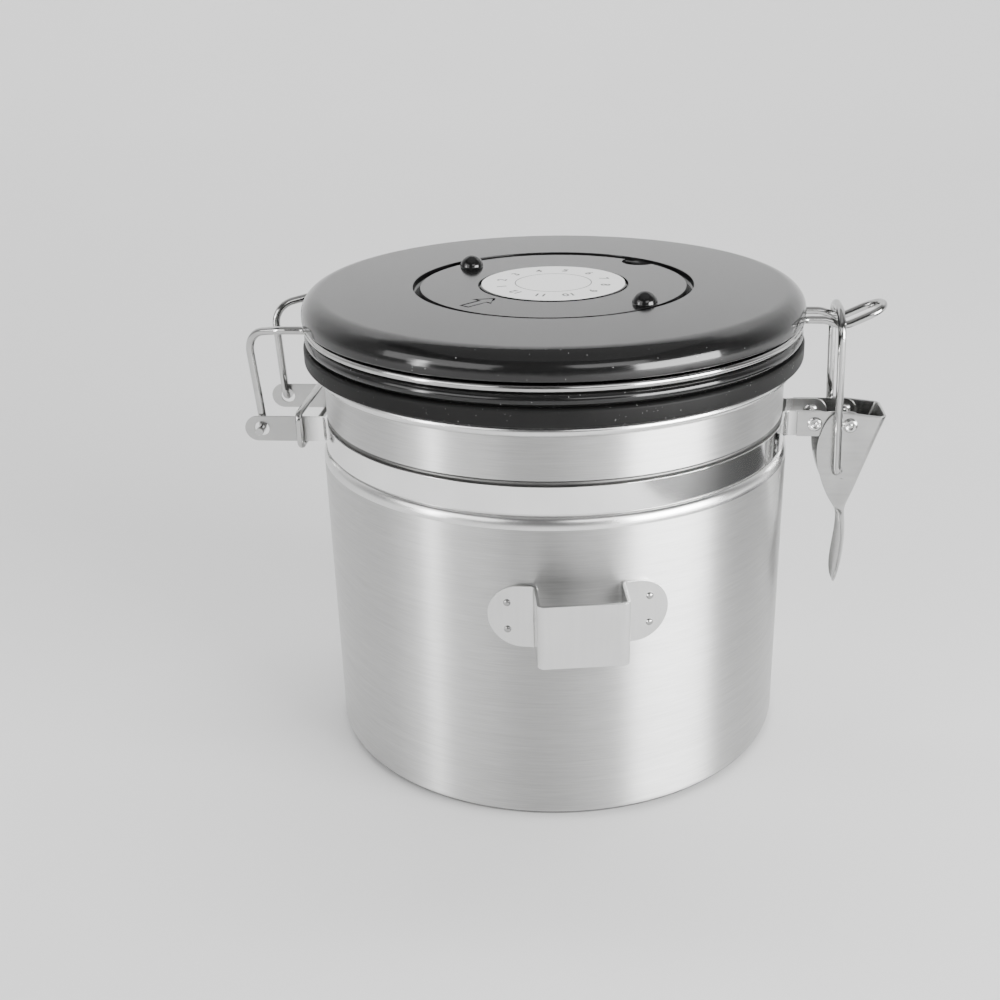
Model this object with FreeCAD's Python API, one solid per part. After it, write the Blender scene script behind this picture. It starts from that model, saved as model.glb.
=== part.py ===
import FreeCAD
import Part
import math
import os

Vector = FreeCAD.Vector
X_AXIS = Vector(1, 0, 0)
Y_AXIS = Vector(0, 1, 0)
Z_AXIS = Vector(0, 0, 1)

# Sizes in millimetres, heights from the table, +X towards the latch, -Y the front.
cut_overrun = 5.0

# The can
can_radius = 60.3
can_wall = 0.6
can_body_height = 80.4
can_base_corner_radius = 3.0
can_base_bead_radius = 50.0
can_base_bead_width = 5.0
can_base_bead_depth = 1.0
can_seat_depth = 1.45
can_groove_radius = 0.6
can_neck_height = 12.6
can_rim_bead_radius = 1.4

# The strap and its ears
strap_thickness = 0.6
strap_height = 6.6
strap_lift = 0.6
strap_gap = 0.05
strap_bend_radius = 2.0

# The wire of the bail and of the latch link
wire_radius = 1.0

# The hinge
hinge_offset = 14.1
hinge_leg_y = 11.65
hinge_leg_gap = 0.55
hinge_hole_radius = 1.9
hinge_ear_overhang = 4.4
hinge_stub = 5.0
hinge_stub_bend_radius = 2.2
hinge_top_bend_radius = 6.0
hinge_top_lean = 1.5
hinge_top_drop = 1.7
hinge_exit_y = 17.5
hinge_exit_run = 5.0
clip_wire_radius = 0.9
clip_offset = 4.0
clip_corner_radius = 1.6
clip_gap = 0.05
clip_side_gap = 0.45

# The latch: plates, rivets, lever and link
latch_ear_y = 5.1
latch_ear_length = 11.0
latch_plate_thickness = 0.6
latch_plate_start = 2.2
latch_pivot_offset = 15.5
strap_rivet_back = 8.8
rivet_shank_radius = 1.25
rivet_head_radius = 1.8
rivet_head_thickness = 0.6
rivet_dimple_radius = 0.8
rivet_dimple_depth = 0.35
rivet_head_gap = 0.1
rivet_running_gap = 0.07
lever_gap = 0.2
lever_sheet = 0.6
lever_bend_radius = 1.4
lever_depth = 16.2
lever_cheek_height = 29.5
lever_spine_foot_share = 0.55
lever_corner_radius = 0.9
lever_apex_radius = 0.3
lever_tongue_length = 26.5
lever_tongue_width = 12.6
lever_tongue_kick = 0.8
lever_tongue_bend_radius = 7.0
link_hole_radius = 1.75
link_hole_drop = 12.4
link_hole_back = 2.8
link_hook_reach = 1.9
link_hook_bend_radius = 1.8
link_arch_radius = 6.5
link_arch_back = 1.5
link_side_gap = 0.3
link_slack = 1.2

# The bail's loop at the latch
loop_half_width = 4.5
loop_hook_bend_radius = 2.5
loop_drop = 1.7
loop_drop_run = 4.5
loop_rise_length = 6.6
loop_rise_angle = 25.0
loop_bend_radius = 5.0

# The scoop holder
holder_sheet = 0.8
holder_height = 15.6
holder_centre_height = 56.2
holder_azimuth = 8.6
holder_inner_width = 19.4
holder_inner_depth = 9.0
holder_tab_half_span = 20.9
holder_wall_bend_radius = 1.4
holder_corner_radius = 1.3
holder_weld_radius = 1.0
holder_weld_height = 0.25
holder_weld_half_span = 16.5
holder_weld_half_rise = 3.4

# The lid, from the gasket up
seal_gap = 0.25
gasket_height = 4.4
gasket_overhang = 4.45
gasket_edge_radius = 0.8
gasket_seat_inset = 3.7
lid_fit_gap = 0.1
lid_wall = 2.2
lid_base_bead_height = 3.25
lid_base_bead_overhang = 4.0
lid_plug_lip_height = 1.9
lid_plug_lip_reach = 1.4
lid_spigot_height = 2.5
hoop_groove_height = 2.6
hoop_groove_overhang = 1.95
lid_cover_height = 6.6
lid_cover_overhang = 4.35
lid_cover_edge_radius = 5.2
lid_cover_lower_edge_radius = 0.5

# The screws that join the lid base to the cover
screw_count = 4
screw_inset = 4.15
screw_shank_radius = 1.4
screw_head_radius = 2.8
screw_head_height = 1.8
screw_boss_radius = 3.6
screw_bite = 6.0

# The dial in the cover
dial_well_share = 0.5585
dial_well_depth = 3.9
dial_well_floor = 1.6
dial_ring_gap = 1.8
dial_ring_bore_share = 0.565
dial_ring_sink = 0.3
dial_ring_flange = 1.0
dial_running_gap = 0.3
dial_hub_share = 0.57
dial_disc_gap = 0.6
dial_disc_rise = 0.1
dial_disc_bevel = 0.25
dial_stem_radius = 4.0
dial_stem_gap = 0.05
dial_label_thickness = 0.15
dial_knob_inset = 3.5
dial_knob_radius = 3.1
dial_knob_height = 2.9
dial_arrow_azimuth = -130.0
dial_arrow_inset = 2.7
dial_arrow_length_share = 0.718
dial_arrow_line = 0.5
dial_arrow_depth = 0.3
dial_notch_radius = 4.6
dial_notch_depth = 1.6
dial_vent_count = 6
dial_vent_radius = 1.5

# The one-way valve under the dial
valve_port_count = 6
valve_port_radius = 1.3
valve_port_circle_radius = 4.6
valve_disc_radius = 7.4
valve_disc_thickness = 0.9
valve_seat_gap = 0.1
valve_lift = 0.8
valve_stop_gap = 0.3
valve_ring_wall = 1.4
valve_ring_height = 1.0
valve_cage_wall = 1.4
valve_cage_top = 1.2
valve_cage_window_width = 3.0
valve_cage_window_count = 4
valve_cap_radius = 15.0
valve_cap_wall = 1.5
valve_cap_height = 5.2
valve_cap_slot_count = 8
valve_cap_slot_width = 1.6
valve_cap_slot_inner_radius = 4.0
valve_filter_thickness = 1.0
valve_boss_wall = 1.8

# Heights worked out from the stack of pieces
strap_bottom = can_body_height + strap_lift
strap_top = strap_bottom + strap_height
strap_middle = strap_bottom + strap_height / 2
groove_height = strap_top + can_groove_radius
rim_bead_height = groove_height + can_neck_height
rim_top = rim_bead_height + can_rim_bead_radius
gasket_bottom = rim_top + seal_gap
lid_base_bottom = gasket_bottom + gasket_height
lid_bead_top = lid_base_bottom + lid_base_bead_height
lid_cover_bottom = lid_bead_top + hoop_groove_height
lid_top = lid_cover_bottom + lid_cover_height
lid_plate_top = lid_base_bottom + lid_wall
hoop_height = lid_bead_top + lid_fit_gap + wire_radius
dial_floor_top = lid_top - dial_well_depth
dial_ring_top = lid_top - dial_ring_sink
dial_ring_bottom = dial_floor_top + dial_running_gap
dial_disc_bottom = dial_ring_bottom + dial_ring_flange + dial_running_gap
dial_disc_top = dial_ring_top + dial_disc_rise

# Radii and places worked out from the can outwards
neck_radius = can_radius - can_seat_depth
strap_radius = neck_radius + strap_gap + strap_thickness / 2
gasket_radius = neck_radius + gasket_overhang
gasket_inner_radius = neck_radius - gasket_seat_inset
plug_inner_radius = gasket_inner_radius - lid_wall
screw_circle_radius = plug_inner_radius - screw_inset - screw_head_radius
lid_radius = neck_radius + lid_cover_overhang
dial_well_radius = lid_radius * dial_well_share
dial_ring_radius = dial_well_radius - dial_ring_gap
dial_ring_inner_radius = dial_ring_radius * dial_ring_bore_share
dial_hub_radius = dial_ring_inner_radius * dial_hub_share
dial_disc_radius = dial_ring_inner_radius - dial_disc_gap
dial_label_radius = dial_disc_radius - dial_disc_bevel
dial_knob_circle_radius = dial_ring_radius - dial_knob_inset
dial_arrow_outer_radius = dial_ring_radius - dial_arrow_inset
dial_arrow_length = (dial_ring_radius - dial_ring_inner_radius) * dial_arrow_length_share
dial_vent_circle_radius = (dial_hub_radius + dial_ring_inner_radius) / 2
groove_floor_radius = neck_radius + hoop_groove_overhang
hoop_radius = groove_floor_radius + lid_fit_gap + wire_radius
hinge_x = -(can_radius + hinge_offset)
hinge_ear_y = hinge_leg_y + wire_radius + hinge_leg_gap + strap_thickness / 2
pivot_x = can_radius + latch_pivot_offset
link_hole_x = pivot_x - link_hole_back
link_hole_z = strap_middle - link_hole_drop
latch_plate_y = latch_ear_y + strap_thickness / 2
latch_plate_outer_y = latch_plate_y + latch_plate_thickness
lever_inner_y = latch_plate_outer_y + lever_gap
lever_outer_y = lever_inner_y + lever_sheet
pivot_head_y = lever_outer_y + rivet_head_gap
link_leg_y = pivot_head_y + rivet_head_thickness + link_side_gap + wire_radius
link_arch_x = link_hole_x - link_arch_back
loop_height = hoop_height - loop_drop


def on_circle(radius, degrees, height=0):
    """A point on a circle round the can's axis, counted from +X."""
    angle = math.radians(degrees)
    return Vector(radius * math.cos(angle), radius * math.sin(angle), height)


def line_edge(start, end):
    """A straight edge."""
    return Part.LineSegment(start, end).toShape()


def arc_edge(start, middle, end):
    """An arc through three points."""
    return Part.Arc(start, middle, end).toShape()


def arc_about(centre, start, end):
    """The shorter arc from start to end about a centre."""
    radius = (start - centre).Length
    towards = (start - centre) + (end - centre)
    towards.normalize()
    return arc_edge(start, centre + towards * radius, end)


def rounded_edges(points, radii, closed=False):
    """Straight runs between points, with a tangent arc at each corner that has a radius."""
    count = len(points)
    entry, leave, arcs = {}, {}, {}
    for index in range(count):
        radius = radii[index]
        if not radius:
            continue
        here = points[index]
        back = points[index - 1] - here
        ahead = points[(index + 1) % count] - here
        back.normalize()
        ahead.normalize()
        half_angle = back.getAngle(ahead) / 2
        setback = radius / math.tan(half_angle)
        bisector = back + ahead
        bisector.normalize()
        centre = here + bisector * (radius / math.sin(half_angle))
        entry[index] = here + back * setback
        leave[index] = here + ahead * setback
        arcs[index] = arc_edge(entry[index], centre - bisector * radius, leave[index])
    edges = []
    for index in range(count if closed else count - 1):
        following = (index + 1) % count
        if index in arcs:
            edges.append(arcs[index])
        start = leave.get(index, points[index])
        end = entry.get(following, points[following])
        edges.append(line_edge(start, end))
    return edges


def open_radii(radius, count):
    """Radii of an open route: none at its two ends."""
    return [0] + [radius] * (count - 2) + [0]


def swept_wire(edges, radius):
    """A round wire along tangent lines and arcs."""
    path = Part.Wire(edges)
    first = path.OrderedEdges[0]
    start = path.OrderedVertexes[0].Point
    parameter = first.getParameterByLength(0)
    if (first.valueAt(parameter) - start).Length > radius:
        parameter = first.LastParameter
    section = Part.Wire(Part.makeCircle(radius, start, first.tangentAt(parameter)))
    return path.makePipeShell([section], True, False)


def strip_face(edges, thickness):
    """A flat strip of even thickness, seen from above, along tangent lines and arcs."""
    sides = {1: [], -1: []}
    caps = {1: [], -1: []}
    for edge in edges:
        places = [edge.FirstParameter, (edge.FirstParameter + edge.LastParameter) / 2, edge.LastParameter]
        for side in sides:
            moved = []
            for place in places:
                across = Z_AXIS.cross(edge.tangentAt(place))
                moved.append(edge.valueAt(place) + across * (side * thickness / 2))
            if isinstance(edge.Curve, Part.Line):
                sides[side].append(line_edge(moved[0], moved[-1]))
            else:
                sides[side].append(arc_edge(*moved))
            caps[side] += [moved[0], moved[-1]]
    ends = [line_edge(caps[1][place], caps[-1][place]) for place in (0, -1)]
    outline = Part.Wire(Part.__sortEdges__(sides[1] + sides[-1] + ends))
    return Part.Face(outline)


def turned(edges):
    """A solid turned about the can's axis from a closed outline in the XZ plane."""
    face = Part.Face(Part.Wire(Part.__sortEdges__(edges)))
    return face.revolve(Vector(), Z_AXIS, 360)


def turned_polygon(points):
    """A solid turned from corner points given as radius and height."""
    corners = [Vector(radius, 0, height) for radius, height in points]
    loop = zip(corners, corners[1:] + corners[:1])
    return turned([line_edge(start, end) for start, end in loop])


def tube(outer_radius, inner_radius, bottom, top):
    """A round wall standing on the can's axis."""
    return turned_polygon([
        (inner_radius, bottom),
        (outer_radius, bottom),
        (outer_radius, top),
        (inner_radius, top),
    ])


def disc(radius, bottom, top, centre=Vector()):
    """An upright cylinder."""
    return Part.makeCylinder(radius, top - bottom, Vector(centre.x, centre.y, bottom))


def cross_pin(radius, x, z, start_y, end_y):
    """A cylinder along Y."""
    return Part.makeCylinder(radius, abs(end_y - start_y), Vector(x, min(start_y, end_y), z), Y_AXIS)


def around(shape, count, offset=0):
    """Copies of a shape, evenly spaced round the can's axis."""
    copies = []
    for index in range(count):
        copy = shape.copy()
        copy.rotate(Vector(), Z_AXIS, offset + 360 * index / count)
        copies.append(copy)
    return Part.makeCompound(copies)


def front_and_rear(front):
    """A front piece and its mirror image behind, as one group of separate solids."""
    return Part.makeCompound([front, front.mirror(Vector(), Y_AXIS)])


def wall_to_line(radius, bend_radius, offset):
    """Where a bend leaves a circle for a straight run that stands off the can's axis by offset."""
    across = offset + bend_radius
    along = math.sqrt((radius + bend_radius) ** 2 - across ** 2)
    return along, across, radius / (radius + bend_radius)


def make_can_body():
    """Base, wall, shoulder, strap seat, rolled groove, neck and rolled rim in one drawn shell."""
    inside = can_radius - can_wall
    corner_inside = can_base_corner_radius - can_wall
    neck_inside = neck_radius - can_wall
    bead_centre = neck_inside + can_rim_bead_radius
    bead_start_drop = math.sqrt(can_rim_bead_radius ** 2 - (can_rim_bead_radius - can_wall) ** 2)
    groove_inside_radius = can_groove_radius + can_wall
    shoulder_radius = can_seat_depth
    base_bead = [
        (can_base_bead_radius - can_base_bead_width - can_base_bead_depth, 0),
        (can_base_bead_radius - can_base_bead_width, can_base_bead_depth),
        (can_base_bead_radius, can_base_bead_depth),
        (can_base_bead_radius + can_base_bead_depth, 0),
    ]
    shoulder_inside = can_body_height - can_wall
    quarter = math.sqrt(2) / 2

    def at(radius, height):
        return Vector(radius, 0, height)

    under = [at(0, 0)] + [at(radius, height) for radius, height in base_bead]
    over = [at(radius, height + can_wall) for radius, height in reversed(base_bead)] + [at(0, can_wall)]
    under.append(at(can_radius - can_base_corner_radius, 0))
    over.insert(0, at(inside - corner_inside, can_wall))
    edges = [line_edge(start, end) for side in (under, over) for start, end in zip(side, side[1:])]
    edges += [
        arc_about(
            at(can_radius - can_base_corner_radius, can_base_corner_radius),
            at(can_radius - can_base_corner_radius, 0),
            at(can_radius, can_base_corner_radius),
        ),
        line_edge(at(can_radius, can_base_corner_radius), at(can_radius, can_body_height - shoulder_radius)),
        arc_about(
            at(neck_radius, can_body_height - shoulder_radius),
            at(can_radius, can_body_height - shoulder_radius),
            at(neck_radius, can_body_height),
        ),
        line_edge(at(neck_radius, can_body_height), at(neck_radius, groove_height - can_groove_radius)),
        arc_edge(
            at(neck_radius, groove_height - can_groove_radius),
            at(neck_radius - can_groove_radius, groove_height),
            at(neck_radius, groove_height + can_groove_radius),
        ),
        line_edge(
            at(neck_radius, groove_height + can_groove_radius),
            at(neck_radius, rim_bead_height - bead_start_drop),
        ),
        arc_edge(
            at(neck_radius, rim_bead_height - bead_start_drop),
            at(bead_centre + can_rim_bead_radius * quarter, rim_bead_height + can_rim_bead_radius * quarter),
            at(neck_inside, rim_bead_height),
        ),
        line_edge(at(neck_inside, rim_bead_height), at(neck_inside, groove_height + groove_inside_radius)),
        arc_edge(
            at(neck_inside, groove_height + groove_inside_radius),
            at(neck_inside - groove_inside_radius, groove_height),
            at(neck_inside, groove_height - groove_inside_radius),
        ),
        line_edge(at(neck_inside, groove_height - groove_inside_radius), at(neck_inside, shoulder_inside)),
        line_edge(at(neck_inside, shoulder_inside), at(inside, shoulder_inside - shoulder_radius)),
        line_edge(at(inside, shoulder_inside - shoulder_radius), at(inside, can_base_corner_radius)),
        arc_about(
            at(inside - corner_inside, can_base_corner_radius),
            at(inside, can_base_corner_radius),
            at(inside - corner_inside, can_wall),
        ),
        line_edge(at(0, can_wall), at(0, 0)),
    ]
    return turned(edges)


def make_strap_front():
    """Front half of the strap, from the hinge ear round the front to the latch ear."""
    hinge_along, hinge_across, hinge_share = wall_to_line(strap_radius, strap_bend_radius, hinge_ear_y)
    latch_along, latch_across, latch_share = wall_to_line(strap_radius, strap_bend_radius, latch_ear_y)
    hinge_centre = Vector(-hinge_along, -hinge_across, 0)
    latch_centre = Vector(latch_along, -latch_across, 0)
    hinge_tip = hinge_x - hinge_ear_overhang
    latch_tip = can_radius + latch_ear_length
    edges = [
        line_edge(Vector(hinge_tip, -hinge_ear_y, 0), Vector(-hinge_along, -hinge_ear_y, 0)),
        arc_about(hinge_centre, Vector(-hinge_along, -hinge_ear_y, 0), hinge_centre * hinge_share),
        arc_edge(hinge_centre * hinge_share, Vector(0, -strap_radius, 0), latch_centre * latch_share),
        arc_about(latch_centre, latch_centre * latch_share, Vector(latch_along, -latch_ear_y, 0)),
        line_edge(Vector(latch_along, -latch_ear_y, 0), Vector(latch_tip, -latch_ear_y, 0)),
    ]
    strip = strip_face(edges, strap_thickness).extrude(Z_AXIS * strap_height)
    strip.translate(Z_AXIS * strap_bottom)
    end_radius = strap_height / 2
    ends = [
        Vector(hinge_tip, 0, strap_bottom),
        Vector(latch_tip, 0, strap_bottom),
        Vector(latch_tip, 0, strap_top),
        Vector(hinge_tip, 0, strap_top),
    ]
    side_view = rounded_edges(ends, [end_radius * 0.999] * len(ends), closed=True)
    reach = Vector(0, -2 * can_radius, 0)
    strip = strip.common(Part.Face(Part.Wire(side_view)).extrude(reach))
    through = (-hinge_ear_y - cut_overrun, -hinge_ear_y + cut_overrun)
    hinge_hole = cross_pin(hinge_hole_radius, hinge_x, strap_middle, *through)
    rivet_x = pivot_x - strap_rivet_back
    rivet_hole = cross_pin(rivet_shank_radius, rivet_x, strap_middle, -latch_ear_y - cut_overrun, 0)
    return strip.cut(hinge_hole).cut(rivet_hole)


def make_hinge_clip():
    """Wire ring round both hinge ears."""
    side = hinge_ear_y + strap_thickness / 2 + clip_side_gap + clip_wire_radius
    low = strap_bottom - clip_gap - clip_wire_radius
    high = strap_top + clip_gap + clip_wire_radius
    x = -(can_radius + clip_offset)
    corners = [
        Vector(x, 0, low),
        Vector(x, side, low),
        Vector(x, side, high),
        Vector(x, -side, high),
        Vector(x, -side, low),
    ]
    route = corners + corners[:1]
    return swept_wire(rounded_edges(route, open_radii(clip_corner_radius, len(route))), clip_wire_radius)


def make_latch_plate_front():
    """Flat plate on the outside of the front latch ear, rounded about the lever's pivot."""
    start = can_radius + latch_plate_start
    end_radius = strap_height / 2
    plate = Part.makeBox(pivot_x - start, latch_plate_thickness, strap_height)
    plate.translate(Vector(start, -latch_plate_outer_y, strap_bottom))
    plate = plate.fuse(cross_pin(end_radius, pivot_x, strap_middle, -latch_plate_outer_y, -latch_plate_y))
    for x in (pivot_x, pivot_x - strap_rivet_back):
        hole = cross_pin(rivet_shank_radius, x, strap_middle, -latch_plate_outer_y - cut_overrun, 0)
        plate = plate.cut(hole)
    return plate.removeSplitter()


def make_rivet(x, inner_y, outer_y):
    """Tubular rivet along Y at the front, with a dimpled head at each end."""
    inner_end = inner_y - rivet_head_thickness
    outer_end = outer_y + rivet_head_thickness
    rivet = cross_pin(rivet_shank_radius, x, strap_middle, -inner_end, -outer_end)
    rivet = rivet.fuse(cross_pin(rivet_head_radius, x, strap_middle, -inner_end, -inner_y))
    rivet = rivet.fuse(cross_pin(rivet_head_radius, x, strap_middle, -outer_y, -outer_end))
    for end, inward in ((-inner_end, -rivet_dimple_depth), (-outer_end, rivet_dimple_depth)):
        rivet = rivet.cut(cross_pin(rivet_dimple_radius, x, strap_middle, end, end + inward))
    return rivet.removeSplitter()


def make_strap_rivets():
    """Rivets that fasten the latch plates to the strap's ears."""
    inner_y = latch_ear_y - strap_thickness / 2
    return front_and_rear(make_rivet(pivot_x - strap_rivet_back, inner_y, latch_plate_outer_y))


def make_pivot_rivets():
    """Rivets in the latch plates that the lever turns on."""
    return front_and_rear(make_rivet(pivot_x, latch_plate_y, pivot_head_y))


# Lever cheek, as shares of its depth in X and its height in Z, counted from the pivot
lever_cheek_shares = (
    (-0.37, 0.05),
    (-0.23, 0.125),
    (0.50, 0.075),
    (0.056, -0.688),
    (-0.025, -0.864),
    (-0.21, -0.72),
    (-0.40, -0.498),
    (-0.50, -0.22),
)


def lever_corner(index):
    """One corner of the lever's cheek, in the XZ plane."""
    along, up = lever_cheek_shares[index]
    return Vector(pivot_x + along * lever_depth, 0, strap_middle + up * lever_cheek_height)


def make_latch_lever():
    """Folded sheet: two cheeks and a spine, and a finger tongue that runs on from the spine."""
    corners = [lever_corner(index) for index in range(len(lever_cheek_shares))]
    radii = [lever_corner_radius] * len(corners)
    radii[4] = lever_apex_radius
    cheek = Part.Wire(rounded_edges(corners, radii, closed=True))
    cheek_block = Part.Face(cheek).extrude(Y_AXIS * (2 * lever_outer_y))
    cheek_block.translate(Y_AXIS * -lever_outer_y)

    top, foot = corners[2], corners[3]
    spine = top - foot
    lean = math.degrees(math.atan2(spine.x, spine.z))
    middle_y = lever_outer_y - lever_sheet / 2
    fold = [
        Vector(-2 * lever_depth, -middle_y, 0),
        Vector(-lever_sheet / 2, -middle_y, 0),
        Vector(-lever_sheet / 2, middle_y, 0),
        Vector(-2 * lever_depth, middle_y, 0),
    ]
    channel = strip_face(rounded_edges(fold, open_radii(lever_bend_radius, len(fold))), lever_sheet)
    channel = channel.extrude(Z_AXIS * (4 * lever_cheek_height))
    channel.translate(Z_AXIS * (-2 * lever_cheek_height))
    channel.rotate(Vector(), Y_AXIS, lean)
    channel.translate(foot)
    folded = channel.common(cheek_block)

    inward = Vector(-math.cos(math.radians(lean)), 0, math.sin(math.radians(lean))) * (lever_sheet / 2)
    tip_z = foot.z - lever_tongue_length
    route = [
        foot + inward + spine * lever_spine_foot_share,
        foot + inward,
        Vector(foot.x + inward.x - lever_tongue_kick, 0, tip_z),
    ]
    flat_route = [Vector(point.x, point.z, 0) for point in route]
    tongue_bends = open_radii(lever_tongue_bend_radius, len(route))
    tongue = strip_face(rounded_edges(flat_route, tongue_bends), lever_sheet)
    tongue = tongue.extrude(Z_AXIS * (2 * lever_outer_y))
    tongue.rotate(Vector(), X_AXIS, 90)
    tongue.translate(Y_AXIS * lever_outer_y)
    half_width = lever_tongue_width / 2
    face_view = [
        Vector(foot.x, -half_width, tip_z),
        Vector(foot.x, half_width, tip_z),
        Vector(foot.x, half_width, top.z),
        Vector(foot.x, -half_width, top.z),
    ]
    radii = [half_width * 0.999, half_width * 0.999, lever_corner_radius, lever_corner_radius]
    blank = Part.Face(Part.Wire(rounded_edges(face_view, radii, closed=True)))
    blank.translate(X_AXIS * -lever_depth)
    tongue = tongue.common(blank.extrude(X_AXIS * (2 * lever_depth)))

    lever = folded.fuse(tongue).removeSplitter()
    across = (-lever_outer_y - cut_overrun, lever_outer_y + cut_overrun)
    lever = lever.cut(cross_pin(rivet_shank_radius + rivet_running_gap, pivot_x, strap_middle, *across))
    return lever.cut(cross_pin(link_hole_radius, link_hole_x, link_hole_z, *across))


def link_arch_top():
    """Height of the link's wire at the top of its arch, clear of the loop's wires by the slack."""
    flat = link_leg_y - link_arch_radius
    room = link_arch_radius - 2 * wire_radius - link_slack
    rise = math.sqrt(room ** 2 - (loop_half_width - flat) ** 2)
    return loop_height - rise + link_arch_radius


def make_latch_link():
    """Wire stirrup, hooked into the lever's cheeks, with its arch over the bail's loop."""
    hook_end = lever_inner_y - link_hook_reach + lever_sheet
    arch_top = link_arch_top()
    half = [
        Vector(link_hole_x, -hook_end, link_hole_z),
        Vector(link_hole_x, -link_leg_y, link_hole_z),
        Vector(link_arch_x, -link_leg_y, arch_top),
    ]
    route = half + [Vector(point.x, -point.y, point.z) for point in reversed(half)]
    bends = [link_hook_bend_radius, link_arch_radius]
    return swept_wire(rounded_edges(route, [0] + bends + bends[::-1] + [0]), wire_radius)


def bail_half(side):
    """Route of one half of the bail, from its hinge stub to the start of the loop's turn."""
    stub = Vector(hinge_x, side * (hinge_leg_y + hinge_stub), strap_middle)
    leg_foot = Vector(hinge_x, side * hinge_leg_y, strap_middle)
    leg_top_y = hinge_leg_y + hinge_top_lean
    leg_top = Vector(hinge_x - hinge_top_lean, side * leg_top_y, hoop_height - hinge_top_drop)
    along, across, share = wall_to_line(hoop_radius, loop_hook_bend_radius, hinge_exit_y)
    hinge_centre = Vector(-along, side * across, hoop_height)
    hinge_bend = Vector(-along, side * hinge_exit_y, hoop_height)
    hinge_leave = Vector(-along * share, side * across * share, hoop_height)
    knee = Vector(-along - hinge_exit_run, side * hinge_exit_y, hoop_height)
    bends = [0, hinge_stub_bend_radius, hinge_top_bend_radius, hinge_top_bend_radius, 0]
    edges = rounded_edges([stub, leg_foot, leg_top, knee, hinge_bend], bends)
    edges.append(arc_about(hinge_centre, hinge_bend, hinge_leave))

    along, across, share = wall_to_line(hoop_radius, loop_hook_bend_radius, loop_half_width)
    latch_centre = Vector(along, side * across, hoop_height)
    latch_bend = Vector(along, side * loop_half_width, hoop_height)
    latch_leave = Vector(along * share, side * across * share, hoop_height)
    edges.append(arc_edge(hinge_leave, Vector(0, side * hoop_radius, hoop_height), latch_leave))
    edges.append(arc_about(latch_centre, latch_leave, latch_bend))
    return edges, latch_bend


def make_bail_wire():
    """One wire: hinge legs, hoop round the lid and the loop that the link is drawn over."""
    front, front_bend = bail_half(-1)
    rear, rear_bend = bail_half(1)
    rise = math.radians(loop_rise_angle)
    outward = Vector(math.cos(rise), 0, math.sin(rise))

    def loop_route(bend):
        start = Vector(bend.x, bend.y, hoop_height)
        dip = Vector(link_arch_x + wire_radius, bend.y, loop_height)
        before = Vector(dip.x - loop_drop_run, bend.y, hoop_height)
        return [start, before, dip, dip + outward * loop_rise_length]

    bends = [0, loop_bend_radius, loop_bend_radius, 0]
    front_run = loop_route(front_bend)
    rear_run = loop_route(rear_bend)
    turn = outward * loop_half_width
    turn_middle = Vector(front_run[-1].x, 0, front_run[-1].z) + turn
    edges = front + rounded_edges(front_run, bends)
    edges.append(arc_edge(front_run[-1], turn_middle, rear_run[-1]))
    edges += list(reversed(rounded_edges(rear_run, bends))) + list(reversed(rear))
    return swept_wire(edges, wire_radius)


def make_scoop_holder():
    """Bent strip on the front of the can, open above and below, held by spot welds."""
    wall_radius = can_radius + strap_gap + holder_sheet / 2
    side = (holder_inner_width + holder_sheet) / 2
    front = wall_radius + holder_inner_depth + holder_sheet
    along, across, share = wall_to_line(wall_radius, holder_wall_bend_radius, side)
    tab_end = math.sqrt(wall_radius ** 2 - holder_tab_half_span ** 2)
    tab_middle = (holder_tab_half_span + across * share) / 2
    tab_middle_y = math.sqrt(wall_radius ** 2 - tab_middle ** 2)

    def tab_points(turn):
        centre = Vector(turn * across, -along, 0)
        bend_end = Vector(turn * side, -along, 0)
        middle = Vector(turn * tab_middle, -tab_middle_y, 0)
        return Vector(turn * holder_tab_half_span, -tab_end, 0), middle, centre * share, centre, bend_end

    start, middle, leave, centre, bend_end = tab_points(-1)
    left_tab = [arc_edge(start, middle, leave), arc_about(centre, leave, bend_end)]
    start, middle, leave, centre, bend_end = tab_points(1)
    right_tab = [arc_about(centre, bend_end, leave), arc_edge(leave, middle, start)]
    corners = [
        Vector(-side, -along, 0),
        Vector(-side, -front, 0),
        Vector(side, -front, 0),
        Vector(side, -along, 0),
    ]
    pocket = rounded_edges(corners, open_radii(holder_corner_radius, len(corners)))
    edges = left_tab + pocket + right_tab
    strip = strip_face(edges, holder_sheet).extrude(Z_AXIS * holder_height)
    strip.translate(Z_AXIS * (holder_centre_height - holder_height / 2))
    bottom = holder_centre_height - holder_height / 2
    top = holder_centre_height + holder_height / 2
    ends = [
        Vector(-holder_tab_half_span, 0, bottom),
        Vector(holder_tab_half_span, 0, bottom),
        Vector(holder_tab_half_span, 0, top),
        Vector(-holder_tab_half_span, 0, top),
    ]
    tab_view = rounded_edges(ends, [holder_height / 2 * 0.999] * len(ends), closed=True)
    strip = strip.common(Part.Face(Part.Wire(tab_view)).extrude(Vector(0, -2 * can_radius, 0)))
    outside = wall_radius + holder_sheet / 2
    for x in (-holder_weld_half_span, holder_weld_half_span):
        for rise in (-holder_weld_half_rise, holder_weld_half_rise):
            face_y = math.sqrt(outside ** 2 - x ** 2)
            outward = Vector(x, -face_y, 0)
            outward.normalize()
            root = Vector(x, -face_y, holder_centre_height + rise) - outward * (holder_sheet / 2)
            height = holder_sheet / 2 + holder_weld_height
            strip = strip.fuse(Part.makeCylinder(holder_weld_radius, height, root, outward))
    strip.rotate(Vector(), Z_AXIS, holder_azimuth)
    return strip.removeSplitter()


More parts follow.
